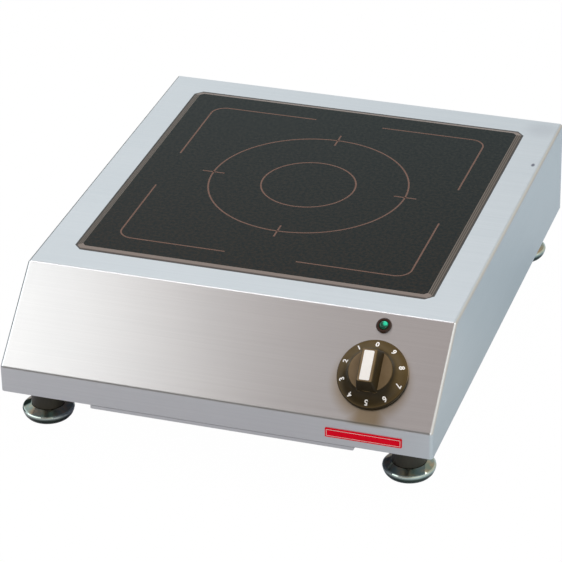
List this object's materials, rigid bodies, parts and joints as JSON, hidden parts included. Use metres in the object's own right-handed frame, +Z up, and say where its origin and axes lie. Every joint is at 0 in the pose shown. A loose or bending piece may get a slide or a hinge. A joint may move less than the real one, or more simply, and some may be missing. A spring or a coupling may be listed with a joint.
{
  "type": "induction hob",
  "caption": "Table-top induction hob: low steel housing with a slanted control panel, flush black glass plate, power knob with lamp and four adjustable feet.",
  "frame": {"origin": "centre of the footprint, on the floor under the foot pads", "axes": "+Z up, -Y towards the cook (control panel), +X to the cook's right"},
  "size_m": [0.4026, 0.502, 0.1331],
  "materials": {
    "stainless": "brushed",
    "steel_fasteners": "satin",
    "ceramic_glass": "polished",
    "silicone": "matt",
    "red_badge": "glossy",
    "label": "matt",
    "brown_bezel": "glossy",
    "green_lens": "glossy",
    "knob_plastic": "satin",
    "white_plastic": "glossy",
    "black_plastic": "satin",
    "brass": "satin",
    "copper": "varnished litz wire",
    "mica": "matt",
    "ferrite": "matt",
    "circuit_board": "solder mask",
    "aluminium": "extruded",
    "capacitor_film": "matt",
    "choke_winding": "varnished",
    "white_sleeving": "matt",
    "black_sleeve": "satin",
    "chrome": "polished",
    "pad_rubber": "matt"
  },
  "bodies": {
    "hob": {"housing": "stainless", "rear_panel": "stainless", "base_plate": "stainless", "base_screws": "steel_fasteners", "rear_screws": "steel_fasteners", "glass_plate": "ceramic_glass", "glass_seal": "silicone", "glass_carrier": "stainless", "badge": "red_badge", "rating_plate": "label", "lamp_bezel": "brown_bezel", "lamp_lens": "green_lens", "panel_nuts": "steel_fasteners", "power_regulator": "black_plastic", "cable_gland": "black_plastic", "gland_locknut": "black_plastic", "bonding_stud": "brass", "mica_sheet": "mica", "coil_winding": "copper", "coil_tray": "aluminium", "ferrite_bars": "ferrite", "temperature_sensor": "white_sleeving", "coil_posts": "steel_fasteners", "coil_springs": "steel_fasteners", "board_standoffs": "brass", "board_screws": "steel_fasteners", "power_board": "circuit_board", "heatsink": "aluminium", "power_transistors": "black_plastic", "bridge_rectifier": "black_plastic", "film_capacitors": "capacitor_film", "power_choke": "choke_winding", "coil_terminals": "brass", "mains_board": "circuit_board", "mains_filter": "capacitor_film", "terminal_block": "white_sleeving", "control_board": "circuit_board", "control_parts": "black_plastic", "fan_frame": "black_plastic", "fan_screws": "steel_fasteners", "air_duct": "black_plastic", "coil_leads": "white_sleeving", "supply_leads": "white_sleeving", "filter_rails": "stainless", "foot_sleeves": "black_sleeve", "foot_nuts": "steel_fasteners"},
    "knob": {"knob_dial": "knob_plastic", "knob_insert": "white_plastic", "knob_shaft": "steel_fasteners"},
    "fan": {"fan_rotor": "black_plastic"},
    "filter": {"filter_holder": "stainless", "filter_mesh": "aluminium"},
    "cup_front_left": {"foot_cup_front_left": "chrome"},
    "pad_front_left": {"foot_pad_front_left": "pad_rubber"},
    "cup_front_right": {"foot_cup_front_right": "chrome"},
    "pad_front_right": {"foot_pad_front_right": "pad_rubber"},
    "cup_back_left": {"foot_cup_back_left": "chrome"},
    "pad_back_left": {"foot_pad_back_left": "pad_rubber"},
    "cup_back_right": {"foot_cup_back_right": "chrome"},
    "pad_back_right": {"foot_pad_back_right": "pad_rubber"}
  },
  "joints": [
    {"name": "knob_turn", "type": "hinge", "parent": "hob", "child": "knob", "pos_m": [0.13805, -0.22291, 0.1014], "axis": [0, 0.6568, -0.7541], "range_deg": [0, 324]},
    {"name": "fan_spin", "type": "hinge", "parent": "hob", "child": "fan", "pos_m": [0.006, -0.13455, 0.051], "axis": [0, 0, 1], "continuous": true},
    {"name": "filter_pull", "type": "slide", "parent": "hob", "child": "filter", "axis": [0, -1, 0], "range_m": [0, 0.18]},
    {"name": "foot_travel_front_left", "type": "slide", "parent": "hob", "child": "pad_front_left", "axis": [0, 0, -1], "range_m": [0, 0.012]},
    {"name": "foot_screw_front_left", "type": "hinge", "parent": "pad_front_left", "child": "cup_front_left", "pos_m": [-0.17095, -0.21585, 0.008], "axis": [0, 0, -1], "range_deg": [0, 2880]},
    {"name": "foot_travel_front_right", "type": "slide", "parent": "hob", "child": "pad_front_right", "axis": [0, 0, -1], "range_m": [0, 0.012]},
    {"name": "foot_screw_front_right", "type": "hinge", "parent": "pad_front_right", "child": "cup_front_right", "pos_m": [0.17095, -0.21585, 0.008], "axis": [0, 0, -1], "range_deg": [0, 2880]},
    {"name": "foot_travel_back_left", "type": "slide", "parent": "hob", "child": "pad_back_left", "axis": [0, 0, -1], "range_m": [0, 0.012]},
    {"name": "foot_screw_back_left", "type": "hinge", "parent": "pad_back_left", "child": "cup_back_left", "pos_m": [-0.17095, 0.19325, 0.008], "axis": [0, 0, -1], "range_deg": [0, 2880]},
    {"name": "foot_travel_back_right", "type": "slide", "parent": "hob", "child": "pad_back_right", "axis": [0, 0, -1], "range_m": [0, 0.012]},
    {"name": "foot_screw_back_right", "type": "hinge", "parent": "pad_back_right", "child": "cup_back_right", "pos_m": [0.17095, 0.19325, 0.008], "axis": [0, 0, -1], "range_deg": [0, 2880]}
  ],
  "couplings": [
    {"joint": "foot_screw_front_left", "follows": "foot_travel_front_left", "rad_per_m": 4188.8},
    {"joint": "foot_screw_front_right", "follows": "foot_travel_front_right", "rad_per_m": 4188.8},
    {"joint": "foot_screw_back_left", "follows": "foot_travel_back_left", "rad_per_m": 4188.8},
    {"joint": "foot_screw_back_right", "follows": "foot_travel_back_right", "rad_per_m": 4188.8}
  ]
}
